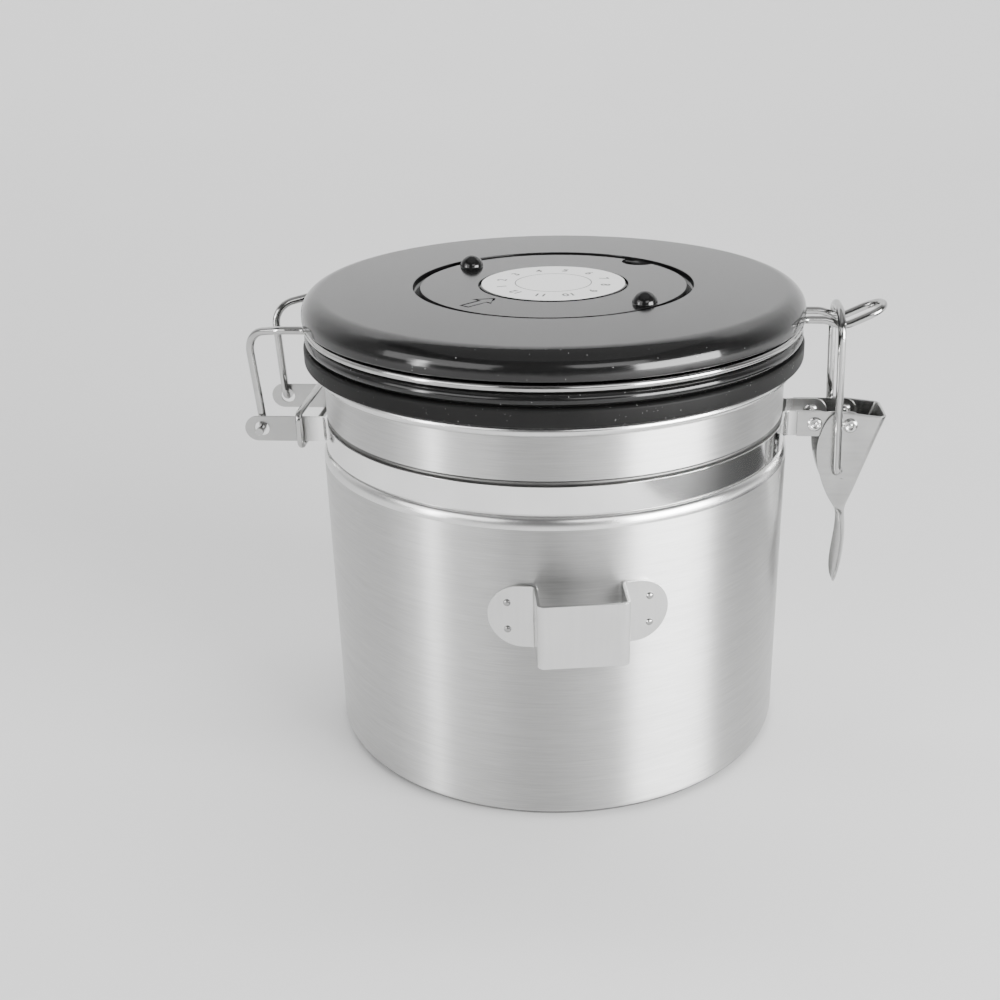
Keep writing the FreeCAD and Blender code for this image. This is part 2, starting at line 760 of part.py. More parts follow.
def make_lid_gasket():
    """Silicone ring that the lid base presses on the can's rim."""
    corners = [
        Vector(gasket_inner_radius + lid_fit_gap, 0, gasket_bottom),
        Vector(gasket_radius, 0, gasket_bottom),
        Vector(gasket_radius, 0, lid_base_bottom),
        Vector(gasket_inner_radius + lid_fit_gap, 0, lid_base_bottom),
    ]
    radii = [lid_fit_gap, gasket_edge_radius, gasket_edge_radius, lid_fit_gap]
    return turned(rounded_edges(corners, radii, closed=True))


def screw_place():
    """Centre of the first lid screw; the others follow round the axis."""
    return on_circle(screw_circle_radius, 180 / screw_count)


def make_lid_base():
    """Lower lid moulding: bead under the hoop, plate, plug for the gasket and the valve's seat."""
    bead_radius = neck_radius + lid_base_bead_overhang
    bead_round = lid_base_bead_height / 2
    spigot_radius = groove_floor_radius - lid_wall - lid_fit_gap
    lip_radius = gasket_inner_radius + lid_plug_lip_reach
    lip_top = gasket_bottom - lid_fit_gap
    lip_bottom = rim_top - lid_plug_lip_height
    outline = [
        (0, lid_base_bottom, 0),
        (plug_inner_radius, lid_base_bottom, 0),
        (plug_inner_radius, lip_bottom, 0),
        (gasket_inner_radius, lip_bottom, 0),
        (lip_radius, lip_top, 0),
        (gasket_inner_radius, lip_top, 0),
        (gasket_inner_radius, lid_base_bottom, 0),
        (bead_radius, lid_base_bottom, bead_round * 0.98),
        (bead_radius, lid_bead_top, bead_round * 0.98),
        (spigot_radius, lid_bead_top, 0),
        (spigot_radius, lid_bead_top + lid_spigot_height, 0),
        (spigot_radius - lid_wall, lid_bead_top + lid_spigot_height, 0),
        (spigot_radius - lid_wall, lid_plate_top, 0),
        (0, lid_plate_top, 0),
    ]
    corners = [Vector(radius, 0, height) for radius, height, _ in outline]
    base = turned(rounded_edges(corners, [bend for _, _, bend in outline], closed=True))

    boss_inner = valve_cap_radius + lid_fit_gap
    boss_bottom = lid_base_bottom - valve_cap_height
    base = base.fuse(tube(boss_inner + valve_boss_wall, boss_inner, boss_bottom, lid_plate_top))
    ring_outer = valve_disc_radius + valve_stop_gap + valve_ring_wall
    ring_top = lid_plate_top + valve_ring_height
    base = base.fuse(tube(ring_outer, ring_outer - valve_ring_wall, lid_base_bottom, ring_top))
    cut_bottom, cut_top = lid_base_bottom - cut_overrun, lid_plate_top + cut_overrun
    port = disc(valve_port_radius, cut_bottom, cut_top, on_circle(valve_port_circle_radius, 0))
    base = base.cut(around(port, valve_port_count))
    hole = disc(screw_shank_radius + lid_fit_gap, cut_bottom, cut_top, screw_place())
    return base.cut(around(hole, screw_count)).removeSplitter()


def make_lid_screws():
    """Screws from below, through the lid base into the cover's bosses."""
    place = screw_place()
    shank = disc(screw_shank_radius, lid_base_bottom, lid_plate_top + screw_bite, place)
    head_bottom = lid_base_bottom - screw_head_height
    head = disc(screw_head_radius, head_bottom, lid_base_bottom, place)
    socket = disc(screw_shank_radius, head_bottom, head_bottom + screw_head_height / 2, place)
    return around(shank.fuse(head).cut(socket).removeSplitter(), screw_count)


def make_lid_cover():
    """Upper lid moulding: rounded edge, skirt behind the hoop, dial well, hub and screw bosses."""
    edge_centre = lid_radius - lid_cover_edge_radius
    edge_height = lid_top - lid_cover_edge_radius
    lower = lid_cover_lower_edge_radius
    skirt_inside = groove_floor_radius - lid_wall
    under_top = lid_top - lid_wall
    well_outside = dial_well_radius + lid_wall
    floor_bottom = dial_floor_top - dial_well_floor

    def at(radius, height):
        return Vector(radius, 0, height)

    edges = [
        line_edge(at(0, floor_bottom), at(well_outside, floor_bottom)),
        line_edge(at(well_outside, floor_bottom), at(well_outside, under_top)),
        line_edge(at(well_outside, under_top), at(skirt_inside, under_top)),
        line_edge(at(skirt_inside, under_top), at(skirt_inside, lid_bead_top)),
        line_edge(at(skirt_inside, lid_bead_top), at(groove_floor_radius, lid_bead_top)),
        line_edge(at(groove_floor_radius, lid_bead_top), at(groove_floor_radius, lid_cover_bottom)),
        line_edge(at(groove_floor_radius, lid_cover_bottom), at(lid_radius - lower, lid_cover_bottom)),
        arc_about(
            at(lid_radius - lower, lid_cover_bottom + lower),
            at(lid_radius - lower, lid_cover_bottom),
            at(lid_radius, lid_cover_bottom + lower),
        ),
        line_edge(at(lid_radius, lid_cover_bottom + lower), at(lid_radius, edge_height)),
        arc_about(at(edge_centre, edge_height), at(lid_radius, edge_height), at(edge_centre, lid_top)),
        line_edge(at(edge_centre, lid_top), at(dial_well_radius, lid_top)),
        line_edge(at(dial_well_radius, lid_top), at(dial_well_radius, dial_floor_top)),
        line_edge(at(dial_well_radius, dial_floor_top), at(dial_hub_radius, dial_floor_top)),
        line_edge(at(dial_hub_radius, dial_floor_top), at(dial_hub_radius, dial_disc_bottom)),
        line_edge(at(dial_hub_radius, dial_disc_bottom), at(0, dial_disc_bottom)),
        line_edge(at(0, dial_disc_bottom), at(0, floor_bottom)),
    ]
    cover = turned(edges)
    stem_hole_radius = dial_stem_radius + dial_stem_gap
    cover = cover.cut(disc(stem_hole_radius, floor_bottom - cut_overrun, dial_disc_bottom + cut_overrun))
    vent = disc(dial_vent_radius, floor_bottom - cut_overrun, dial_floor_top + cut_overrun,
                on_circle(dial_vent_circle_radius, 0))
    cover = cover.cut(around(vent, dial_vent_count))
    place = screw_place()
    boss = disc(screw_boss_radius, lid_plate_top + lid_fit_gap, under_top, place)
    cover = cover.fuse(around(boss, screw_count))
    pilot = disc(screw_shank_radius, lid_plate_top, lid_plate_top + screw_bite, place)
    return cover.cut(around(pilot, screw_count)).removeSplitter()


def make_dial_ring():
    """Turning ring: flange held under the disc, finger knobs, engraved arrow and finger notch."""
    flange_inside = dial_hub_radius + lid_fit_gap
    flange_top = dial_ring_bottom + dial_ring_flange
    ring = turned_polygon([
        (flange_inside, dial_ring_bottom),
        (dial_ring_radius, dial_ring_bottom),
        (dial_ring_radius, dial_ring_top),
        (dial_ring_inner_radius, dial_ring_top),
        (dial_ring_inner_radius, flange_top),
        (flange_inside, flange_top),
    ])
    cap_radius = (dial_knob_radius ** 2 + dial_knob_height ** 2) / (2 * dial_knob_height)
    knob_floor = dial_ring_bottom + dial_ring_flange
    for turn in (-90, 90):
        place = on_circle(dial_knob_circle_radius, dial_arrow_azimuth + 180 + turn)
        ball = Part.makeSphere(cap_radius)
        ball.translate(Vector(place.x, place.y, dial_ring_top + dial_knob_height - cap_radius))
        above = disc(dial_knob_radius + cut_overrun, knob_floor, lid_top + dial_knob_height, place)
        ring = ring.fuse(ball.common(above))
    notch = disc(dial_notch_radius, dial_ring_top - dial_notch_depth, dial_ring_top + cut_overrun,
                 on_circle(dial_ring_radius, dial_arrow_azimuth + 180))
    ring = ring.cut(notch)
    return ring.cut(arrow_groove()).removeSplitter()


# Half of the arrow's outline, as shares of its length, from its tip outwards
arrow_half_shares = ((0.0, 0.0), (0.42, 0.33), (0.42, 0.14), (1.0, 0.14))


def arrow_groove():
    """Engraved line round an arrow that points at the dial's middle."""
    half = [Vector(-along, across, 0) for along, across in arrow_half_shares]
    full = half + [Vector(point.x, -point.y, 0) for point in reversed(half[1:])]
    corners = [point * dial_arrow_length for point in full]
    outline = Part.makePolygon(corners + corners[:1])
    inner = outline.makeOffset2D(-dial_arrow_line, 2)
    band = Part.Face(outline).cut(Part.Face(inner))
    groove = band.extrude(Z_AXIS * (dial_arrow_depth + cut_overrun))
    tip_radius = dial_arrow_outer_radius - dial_arrow_length
    groove.rotate(Vector(), Z_AXIS, 180)
    groove.translate(Vector(tip_radius, 0, dial_ring_top - dial_arrow_depth))
    groove.rotate(Vector(), Z_AXIS, dial_arrow_azimuth)
    return groove


def make_dial_disc():
    """Fixed disc with a bevelled edge, its stem pressed into the cover's hub."""
    floor_bottom = dial_floor_top - dial_well_floor
    return turned_polygon([
        (0, floor_bottom),
        (dial_stem_radius, floor_bottom),
        (dial_stem_radius, dial_disc_bottom),
        (dial_disc_radius, dial_disc_bottom),
        (dial_disc_radius, dial_disc_top - dial_disc_bevel),
        (dial_disc_radius - dial_disc_bevel, dial_disc_top),
        (0, dial_disc_top),
    ])


def make_dial_label():
    """Thin printed plate on the disc."""
    return disc(dial_label_radius, dial_disc_top, dial_disc_top + dial_label_thickness)


def make_valve_disc():
    """Silicone disc over the ports, free to lift."""
    bottom = lid_plate_top + valve_seat_gap
    return disc(valve_disc_radius, bottom, bottom + valve_disc_thickness)


def make_valve_cage():
    """Cup over the disc that stops its lift, with windows for the gas."""
    inner = valve_disc_radius + valve_stop_gap + valve_ring_wall + lid_fit_gap
    ceiling = lid_plate_top + valve_seat_gap + valve_disc_thickness + valve_lift + valve_stop_gap
    outer = inner + valve_cage_wall
    cage = tube(outer, inner, lid_plate_top, ceiling)
    cage = cage.fuse(disc(outer, ceiling, ceiling + valve_cage_top))
    window_bottom = lid_plate_top + valve_ring_height
    window = Part.makeBox(outer + cut_overrun, valve_cage_window_width, ceiling - window_bottom)
    window.translate(Vector(0, -valve_cage_window_width / 2, window_bottom))
    return cage.cut(around(window, valve_cage_window_count)).removeSplitter()


def make_valve_cap():
    """Slotted cup in the lid's underside that holds the filter."""
    bottom = lid_base_bottom - valve_cap_height
    inner = valve_cap_radius - valve_cap_wall
    cap = disc(valve_cap_radius, bottom, bottom + valve_cap_wall)
    cap = cap.fuse(tube(valve_cap_radius, inner, bottom, lid_base_bottom - lid_fit_gap))
    slot_length = inner - valve_cap_wall - valve_cap_slot_inner_radius
    slot = Part.makeBox(slot_length, valve_cap_slot_width, valve_cap_wall + 2 * cut_overrun)
    slot.translate(Vector(valve_cap_slot_inner_radius, -valve_cap_slot_width / 2, bottom - cut_overrun))
    return cap.cut(around(slot, valve_cap_slot_count)).removeSplitter()


def make_valve_filter():
    """Filter disc that lies in the cap."""
    floor = lid_base_bottom - valve_cap_height + valve_cap_wall
    radius = valve_cap_radius - valve_cap_wall - lid_fit_gap
    return disc(radius, floor, floor + valve_filter_thickness)


def mirrored(shape):
    """The same piece behind the can's middle plane."""
    return shape.mirror(Vector(), Y_AXIS)


strap_front = make_strap_front()
latch_plate_front = make_latch_plate_front()
nodes = {
    "can_body": make_can_body(),
    "strap_front": strap_front,
    "strap_rear": mirrored(strap_front),
    "hinge_clip": make_hinge_clip(),
    "latch_plate_front": latch_plate_front,
    "latch_plate_rear": mirrored(latch_plate_front),
    "strap_rivets": make_strap_rivets(),
    "pivot_rivets": make_pivot_rivets(),
    "latch_lever": make_latch_lever(),
    "latch_link": make_latch_link(),
    "scoop_holder": make_scoop_holder(),
    "bail_wire": make_bail_wire(),
    "lid_gasket": make_lid_gasket(),
    "lid_base": make_lid_base(),
    "lid_screws": make_lid_screws(),
    "lid_cover": make_lid_cover(),
    "dial_ring": make_dial_ring(),
    "dial_disc": make_dial_disc(),
    "dial_label": make_dial_label(),
    "valve_disc": make_valve_disc(),
    "valve_cage": make_valve_cage(),
    "valve_filter": make_valve_filter(),
    "valve_cap": make_valve_cap(),
}

os.makedirs("parts", exist_ok=True)
for name, shape in nodes.items():
    shape.exportStep(f"parts/{name}.step")
    print(name, "solids", len(shape.Solids), "valid", shape.isValid(), "volume", round(shape.Volume, 1))
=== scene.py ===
import bmesh
import bpy
import math
from mathutils import Matrix, Vector


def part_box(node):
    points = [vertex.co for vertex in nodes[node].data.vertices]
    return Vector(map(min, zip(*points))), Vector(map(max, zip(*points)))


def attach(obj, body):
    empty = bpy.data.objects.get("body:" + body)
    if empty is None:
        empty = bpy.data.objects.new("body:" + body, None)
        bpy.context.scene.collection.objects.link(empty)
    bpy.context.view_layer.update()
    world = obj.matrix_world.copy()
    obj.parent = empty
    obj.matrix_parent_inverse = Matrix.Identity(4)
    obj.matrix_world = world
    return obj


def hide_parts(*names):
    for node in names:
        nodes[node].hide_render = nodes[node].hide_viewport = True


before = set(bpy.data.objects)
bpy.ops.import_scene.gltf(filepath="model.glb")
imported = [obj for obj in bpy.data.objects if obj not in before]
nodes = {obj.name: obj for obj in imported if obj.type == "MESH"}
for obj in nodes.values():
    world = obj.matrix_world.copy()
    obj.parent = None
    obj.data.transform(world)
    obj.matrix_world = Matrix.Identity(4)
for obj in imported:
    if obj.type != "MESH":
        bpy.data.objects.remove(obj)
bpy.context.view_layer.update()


# Can
# Deep-drawn stainless can with a rolled rim, a shoulder under the strap and a rolled groove.
# Its wall is brushed round the axis, so light spreads up and down it and stays narrow sideways.

class Signal:
    """A value in a material's node tree; sums on it add Math nodes."""

    def __init__(self, tree, socket=None):
        self.tree = tree
        self.socket = socket

    def make(self, kind, settings=None, inputs=None, output=0):
        """Adds a node and returns one of its outputs as a signal."""
        node = self.tree.nodes.new(kind)
        for name, value in (settings or {}).items():
            setattr(node, name, value)
        for name, value in (inputs or {}).items():
            if isinstance(value, Signal):
                self.tree.links.new(value.socket, node.inputs[name])
            else:
                node.inputs[name].default_value = value
        return Signal(self.tree, node.outputs[output])

    def sum(self, operation, first, second):
        return self.make("ShaderNodeMath", {"operation": operation}, {0: first, 1: second})

    def __add__(self, other):
        return self.sum("ADD", self, other)

    def __sub__(self, other):
        return self.sum("SUBTRACT", self, other)

    def __rsub__(self, other):
        return self.sum("SUBTRACT", other, self)

    def __mul__(self, other):
        return self.sum("MULTIPLY", self, other)

    def __gt__(self, other):
        return self.sum("GREATER_THAN", self, other)

    __radd__ = __add__
    __rmul__ = __mul__


def new_finish(name, **sockets):
    """A material with one Principled shader; returns it with its tree and its shader."""
    material = bpy.data.materials.new(name)
    material.use_nodes = True
    shader = material.node_tree.nodes["Principled BSDF"]
    for socket, value in sockets.items():
        shader.inputs[socket.replace("_", " ")].default_value = value
    return material, Signal(material.node_tree), shader


def feed(start, shader, **signals):
    """Links signals to the shader's sockets."""
    for name, signal in signals.items():
        start.tree.links.new(signal.socket, shader.inputs[name.replace("_", " ")])


def streaks(start, scale, detail=3.0):
    """Noise stretched by its three scales, in the piece's own coordinates."""
    place = start.make("ShaderNodeTexCoord", output="Object")
    stretched = start.make("ShaderNodeMapping", {}, {"Vector": place, "Scale": scale})
    return start.make(
        "ShaderNodeTexNoise", {}, {"Vector": stretched, "Scale": 1.0, "Detail": detail})


def tint(start, amount, dark, light):
    """A colour between a dark and a light one."""
    return start.make(
        "ShaderNodeMix", {"data_type": "RGBA"},
        {"Factor": amount, 6: (*dark, 1), 7: (*light, 1)}, output=2,
    )


def bump(start, height, strength, distance):
    """A surface that rises and falls with a signal, by a distance in metres."""
    return start.make(
        "ShaderNodeBump", {}, {"Height": height, "Strength": strength, "Distance": distance})


def add_piece(name, mesh, material, body, slot, *replaced):
    """A piece from a bmesh, riding on a body in place of CAD nodes."""
    data = bpy.data.meshes.new(name)
    mesh.to_mesh(data)
    mesh.free()
    data.materials.append(material)
    piece = bpy.data.objects.new(name, data)
    bpy.context.scene.collection.objects.link(piece)
    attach(piece, body)
    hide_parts(*replaced)
    return piece


def arc(radius, height, bend, first, last, steps=10, stretch=1.0):
    """Points in mm along an arc about a radius and a height, between two angles in degrees.

    The stretch makes the arc taller than it is wide.
    """
    turns = [math.radians(first + (last - first) * step / steps) for step in range(steps + 1)]
    return [
        (radius + bend * math.cos(turn), height + stretch * bend * math.sin(turn)) for turn in turns
    ]


def turned(name, stretches, materials, body, slot, node):
    """A piece spun round the can's axis; each stretch of its outline, in mm, has its own finish."""
    mesh = bmesh.new()
    for index, stretch in stretches:
        made = set(mesh.faces)
        points = [mesh.verts.new((radius / 1000, 0, height / 1000)) for radius, height in stretch]
        edges = [mesh.edges.new(pair) for pair in zip(points, points[1:])]
        bmesh.ops.spin(
            mesh, geom=points + edges, cent=(0, 0, 0), axis=(0, 0, 1), angle=2 * math.pi, steps=224,
            use_merge=True,
        )
        for face in mesh.faces:
            face.smooth = True
            if face not in made:
                face.material_index = index
    bmesh.ops.remove_doubles(mesh, verts=mesh.verts, dist=0.000005)
    bmesh.ops.recalc_face_normals(mesh, faces=mesh.faces)
    for edge in mesh.edges:
        edge.smooth = edge.calc_face_angle(0) < math.radians(30)
    piece = add_piece(name, mesh, materials[0], body, slot, node)
    for material in materials[1:]:
        piece.data.materials.append(material)
    return piece


can_steel, start, shader = new_finish(
    "brushed_can_steel", Metallic=1.0, Anisotropic=0.95, Anisotropic_Rotation=0.25)
fine = streaks(start, (140, 140, 4200), 3.0)
coarse = streaks(start, (30, 30, 900), 4.0)
cloud = streaks(start, (25, 25, 25), 3.0)
lines = fine * 0.65 + coarse * 0.35
feed(
    start, shader,
    Base_Color=tint(start, lines * 0.85 + cloud * 0.15, (0.36, 0.36, 0.355), (0.80, 0.80, 0.795)),
    Roughness=lines * 0.24 + cloud * 0.05 + 0.28,
    Normal=bump(start, lines, 0.12, 0.00003),
)

rolled_steel, start, shader = new_finish("rolled_can_steel", Metallic=1.0)
lines = streaks(start, (25, 25, 2500), 3.0)
cloud = streaks(start, (60, 60, 60), 4.0)
feed(
    start, shader,
    Base_Color=tint(start, lines * 0.5 + cloud * 0.5, (0.56, 0.56, 0.555), (0.76, 0.76, 0.755)),
    Roughness=lines * 0.10 + cloud * 0.10 + 0.14,
    Normal=bump(start, lines, 0.06, 0.00002),
)

# Painted shade: a dark, mottled steel that stands in for the shade in the rolled groove, on the
# strap's seat and round the base's lower corner.
painted_shade_steel, start, shader = new_finish("painted_shade_groove_steel", Metallic=1.0)
cloud = streaks(start, (90, 90, 900), 4.0)
feed(
    start, shader,
    Base_Color=tint(start, cloud, (0.10, 0.10, 0.098), (0.24, 0.24, 0.235)),
    Roughness=cloud * 0.2 + 0.30,
    Normal=bump(start, cloud, 0.10, 0.00003),
)

# Outline in mm: radii, heights and the bends' own radii
can_radius = 60.3
neck_radius = 58.85
can_wall = 0.6
base_corner = 3.0
base_flat = can_radius - base_corner
base_bead = [(44, 0), (45, 1), (50, 1), (51, 0)]
shoulder_foot = 77.5
strap_seat = (81.2, 87.6)
groove_height = 88.2
groove_bend = 0.6
rim_height = 100.8
rim_middle = 59.65
rim_bend = 1.4
wall_inside = can_radius - can_wall
neck_inside = neck_radius - can_wall
underneath = [(0, 0)] + base_bead + arc(base_flat, base_corner, base_corner, -90, -25)
inside = [(neck_inside, rim_height)]
inside += arc(neck_inside, groove_height, groove_bend + can_wall, 90, 270)
inside += [(neck_inside, 79.8), (wall_inside, 78.35)]
inside += arc(base_flat, base_corner, base_corner - can_wall, 0, -90)
inside += [(radius, height + can_wall) for radius, height in reversed(base_bead)] + [(0, can_wall)]
# The painted shade steel covers the underside with the base's lower corner, the strap's seat and the
# groove.
wall, rolled, painted_shade_zone = range(3)
turned("can_drawn", [
    (painted_shade_zone, underneath),
    (wall, arc(base_flat, base_corner, base_corner, -25, 0)
        + [(can_radius, height) for height in (40, shoulder_foot)]),
    (rolled, arc(neck_radius, shoulder_foot, can_radius - neck_radius, 0, 90, 16, 2.0)
        + [(neck_radius, strap_seat[0])]),
    (painted_shade_zone, [(neck_radius, height) for height in strap_seat]
        + arc(neck_radius, groove_height, groove_bend, 270, 90)),
    (wall, [(neck_radius, groove_height + groove_bend), (neck_radius, 99.651)]),
    (rolled, arc(rim_middle, rim_height, rim_bend, -124.85, 180, 24)),
    (wall, inside),
], [can_steel, rolled_steel, painted_shade_steel], "can", "can_steel", "can_body")


# Scoop holder
# One bent strip of satin sheet that a scoop's handle slides into, open above and below. It is
# spot-welded to the can by its two round tabs, and each weld has left a small pimple.

sheet_steel, start, shader = new_finish("satin_sheet_steel", Metallic=1.0)
grain = streaks(start, (900, 900, 60), 3.0)
cloud = streaks(start, (120, 120, 120), 4.0)
feed(
    start, shader,
    Base_Color=tint(start, grain * 0.5 + cloud * 0.5, (0.56, 0.56, 0.555), (0.74, 0.74, 0.735)),
    Roughness=grain * 0.08 + cloud * 0.08 + 0.08,
    Normal=bump(start, grain * 0.6 + cloud * 0.4, 0.03, 0.00003),
)

# The strip's path in plan, in mm, with half its height at each point: from the end of a tab, over
# two bends, to the middle of the front, and mirrored from there
half_height = 7.8
tab_start = 13.1
tab_steps = 17
sheet_middle = 60.75
front = -70.55
path = []
for step in range(tab_steps + 1):
    turn = math.radians(87 - 87 * step / tab_steps)
    x = tab_start + half_height * math.sin(turn)
    path.append((x, -math.sqrt(sheet_middle ** 2 - x ** 2), half_height * math.cos(turn)))
bends = arc(11.5, -61.077, 1.4, 100.7, 180, 8) + arc(8.8, front + 1.3, 1.3, 0, -90, 8)
path += [(x, y, half_height) for x, y in bends + [(4.4, front), (0, front)]]
path += [(-x, y, half) for x, y, half in reversed(path[:-1])]
holder_middle = 0.0562
holder_turn = math.radians(8.6)
mesh = bmesh.new()
lower = [mesh.verts.new((x / 1000, y / 1000, holder_middle - half / 1000)) for x, y, half in path]
edges = [mesh.edges.new(pair) for pair in zip(lower, lower[1:])]
raised = bmesh.ops.extrude_edge_only(mesh, edges=edges)
for item in raised["geom"]:
    if isinstance(item, bmesh.types.BMVert):
        item.co.z = 2 * holder_middle - item.co.z
bmesh.ops.rotate(
    mesh, verts=mesh.verts, cent=(0, 0, 0), matrix=Matrix.Rotation(holder_turn, 3, "Z"))
bmesh.ops.recalc_face_normals(mesh, faces=mesh.faces)


def thickened(piece, thickness, edge_radius):
    """Gives a sheet its thickness, rounded edges and even shading."""
    for face in piece.data.polygons:
        face.use_smooth = True
    sheet = piece.modifiers.new("sheet", "SOLIDIFY")
    sheet.thickness = thickness
    sheet.offset = 0
    edge = piece.modifiers.new("edge", "BEVEL")
    edge.width = edge_radius
    edge.segments = 2
    edge.limit_method = "ANGLE"
    edge.angle_limit = math.radians(50)
    even = piece.modifiers.new("even_normals", "WEIGHTED_NORMAL")
    even.weight = 100


holder = add_piece("scoop_holder_bent", mesh, sheet_steel, "can", "sheet_steel", "scoop_holder")
thickened(holder, thickness=0.0008, edge_radius=0.00018)

weld_steel, start, shader = new_finish("burnt_weld_steel", Metallic=1.0)
cloud = streaks(start, (900, 900, 900), 3.0)
feed(
    start, shader,
    Base_Color=tint(start, cloud, (0.26, 0.26, 0.255), (0.46, 0.46, 0.455)),
    Roughness=cloud * 0.15 + 0.16,
    Normal=bump(start, cloud, 0.15, 0.00004),
)
tab_radius = 0.06115
weld_across = 0.0165
weld_rise = 0.0034
weld_radius = 0.00088
weld_flatness = 0.62
mesh = bmesh.new()
for across in (-weld_across, weld_across):
    facing = holder_turn + math.asin(across / tab_radius)
    for height in (holder_middle - weld_rise, holder_middle + weld_rise):
        pimple = bmesh.ops.create_uvsphere(mesh, u_segments=20, v_segments=10, radius=weld_radius)
        bmesh.ops.transform(
            mesh, verts=pimple["verts"],
            matrix=Matrix.Rotation(facing, 4, "Z") @ Matrix.Translation((0, -tab_radius, height))
            @ Matrix.Diagonal((1, weld_flatness, 1, 1)),
        )
for face in mesh.faces:
    face.smooth = True
add_piece("holder_welds", mesh, weld_steel, "can", "sheet_steel")


# Strap and hinge clip
# Two halves of a polished strip round the neck, bent out into duller ears at the hinge and the
# latch, and the bent wire ring that keeps the hinge ears together.

def softened(node, material, body, slot, radius, lowest=0.0):
    """A copy of a node with its sharp edges above a height rounded to a radius."""
    mesh = bmesh.new()
    mesh.from_mesh(nodes[node].data)
    bmesh.ops.remove_doubles(mesh, verts=mesh.verts, dist=0.000002)
    bmesh.ops.dissolve_limit(
        mesh, angle_limit=math.radians(0.4), verts=mesh.verts, edges=mesh.edges)
    sharp = [
        edge for edge in mesh.edges
        if len(edge.link_faces) == 2 and edge.calc_face_angle() > math.radians(35)
        and min(vert.co.z for vert in edge.verts) > lowest
    ]
    bmesh.ops.bevel(
        mesh, geom=sharp, offset=radius, offset_type="OFFSET", affect="EDGES", segments=2,
        profile=0.5, clamp_overlap=True, material=-1,
    )
    for face in mesh.faces:
        face.smooth = True
    piece = add_piece(node + "_softened", mesh, material, body, slot, node)
    even = piece.modifiers.new("even_normals", "WEIGHTED_NORMAL")
    even.weight = 100


strap_steel, start, shader = new_finish("polished_strap_steel", Metallic=1.0)
grain = streaks(start, (60, 60, 2500), 2.0)
cloud = streaks(start, (90, 90, 90), 3.0)
waves = streaks(start, (55, 55, 30), 1.0)
place = start.make("ShaderNodeTexCoord", output="Object")
side = start.make("ShaderNodeSeparateXYZ", {}, {"Vector": place}, "X")
away = start.make("ShaderNodeMath", {"operation": "ABSOLUTE"}, {0: side})
ear_from = 0.0595
ear_full = 0.0625
band = start.make(
    "ShaderNodeMapRange", {}, {"Value": away, "From Min": ear_full, "From Max": ear_from})
feed(
    start, shader,
    Base_Color=tint(start, cloud * 0.3 + band * 0.7, (0.32, 0.32, 0.315), (0.92, 0.92, 0.915)),
    Roughness=0.25 - band * 0.19 + grain * 0.06 + cloud * 0.04,
    Normal=bump(start, waves * 0.998 + grain * 0.002, 0.3, 0.0010),
)
for name in ("strap_front", "strap_rear"):
    softened(name, strap_steel, "can", "strap_steel", radius=0.00016)

wire_steel, start, shader = new_finish("bright_wire_steel", Metallic=1.0)
cloud = streaks(start, (220, 220, 220), 4.0)
marks = streaks(start, (1500, 1500, 120), 3.0)
feed(
    start, shader,
    Base_Color=tint(start, cloud, (0.36, 0.36, 0.355), (0.52, 0.52, 0.515)),
    Roughness=cloud * 0.08 + marks * 0.06 + 0.05,
    Normal=bump(start, marks * 0.5 + cloud * 0.5, 0.08, 0.00003),
)
nodes["hinge_clip"].material_slots[0].material = wire_steel


# Latch plates and rivets
# Flat plates riveted to the strap's latch ears with bright tubular rivets; a second pair of rivets
# is the lever's pivot.

rivet_steel, start, shader = new_finish("bright_rivet_steel", Metallic=1.0)
cloud = streaks(start, (700, 700, 700), 3.0)
feed(
    start, shader,
    Base_Color=tint(start, cloud, (0.46, 0.46, 0.455), (0.66, 0.66, 0.655)),
    Roughness=cloud * 0.12 + 0.10,
    Normal=bump(start, cloud, 0.10, 0.00003),
)
latch_steel, start, shader = new_finish("pressed_latch_steel", Metallic=1.0)
grain = streaks(start, (60, 900, 900), 3.0)
cloud = streaks(start, (160, 160, 160), 5.0)
feed(
    start, shader,
    Base_Color=tint(start, grain * 0.4 + cloud * 0.6, (0.26, 0.26, 0.255), (0.56, 0.56, 0.555)),
    Roughness=grain * 0.12 + cloud * 0.16 + 0.08,
    Normal=bump(start, grain * 0.3 + cloud * 0.7, 0.25, 0.00008),
)
for name in ("latch_plate_front", "latch_plate_rear"):
    softened(name, latch_steel, "can", "sheet_steel", radius=0.00012)

# Rolled head: boss in the middle, groove, crown and rim, as radius and height in mm
head = [
    (0, 0.30), (0.30, 0.27), (0.52, 0.12), (0.66, 0.10), (0.80, 0.30), (0.98, 0.53), (1.20, 0.60),
    (1.45, 0.52), (1.70, 0.32), (1.86, 0.12), (1.86, 0.02), (1.78, 0),
]
shank_radius = 1.25
pivot = (0.0758, 0.0843)
rivet_spacing = 0.0088

# Where each rivet's two heads sit along Y, in mm
for name, x, inner, outer in (
    ("strap_rivets", pivot[0] - rivet_spacing, 4.8, 6.0),
    ("pivot_rivets", pivot[0], 5.4, 6.9),
):
    mesh = bmesh.new()
    for side in (1, -1):
        outline = [(radius, -outer - height) for radius, height in head]
        outline += [(shank_radius, -outer), (shank_radius, -inner)]
        outline += [(radius, -inner + height) for radius, height in reversed(head)]
        ring = [
            mesh.verts.new((x + radius / 1000, side * y / 1000, pivot[1])) for radius, y in outline
        ]
        edges = [mesh.edges.new(pair) for pair in zip(ring, ring[1:])]
        bmesh.ops.spin(
            mesh, geom=ring + edges, cent=(x, 0, pivot[1]), axis=(0, 1, 0), angle=2 * math.pi,
            steps=40, use_merge=True,
        )
    bmesh.ops.remove_doubles(mesh, verts=mesh.verts, dist=0.000002)
    bmesh.ops.recalc_face_normals(mesh, faces=mesh.faces)
    for face in mesh.faces:
        face.smooth = True
    add_piece(name + "_rolled", mesh, rivet_steel, "can", "rivet_steel", name)
nodes["lid_screws"].material_slots[0].material = rivet_steel


# Latch lever
# Pressed and folded from one sheet: two cheeks, a spine and a dished finger tongue. It swings on
# the pivot rivets and carries the link in a hole in each cheek.

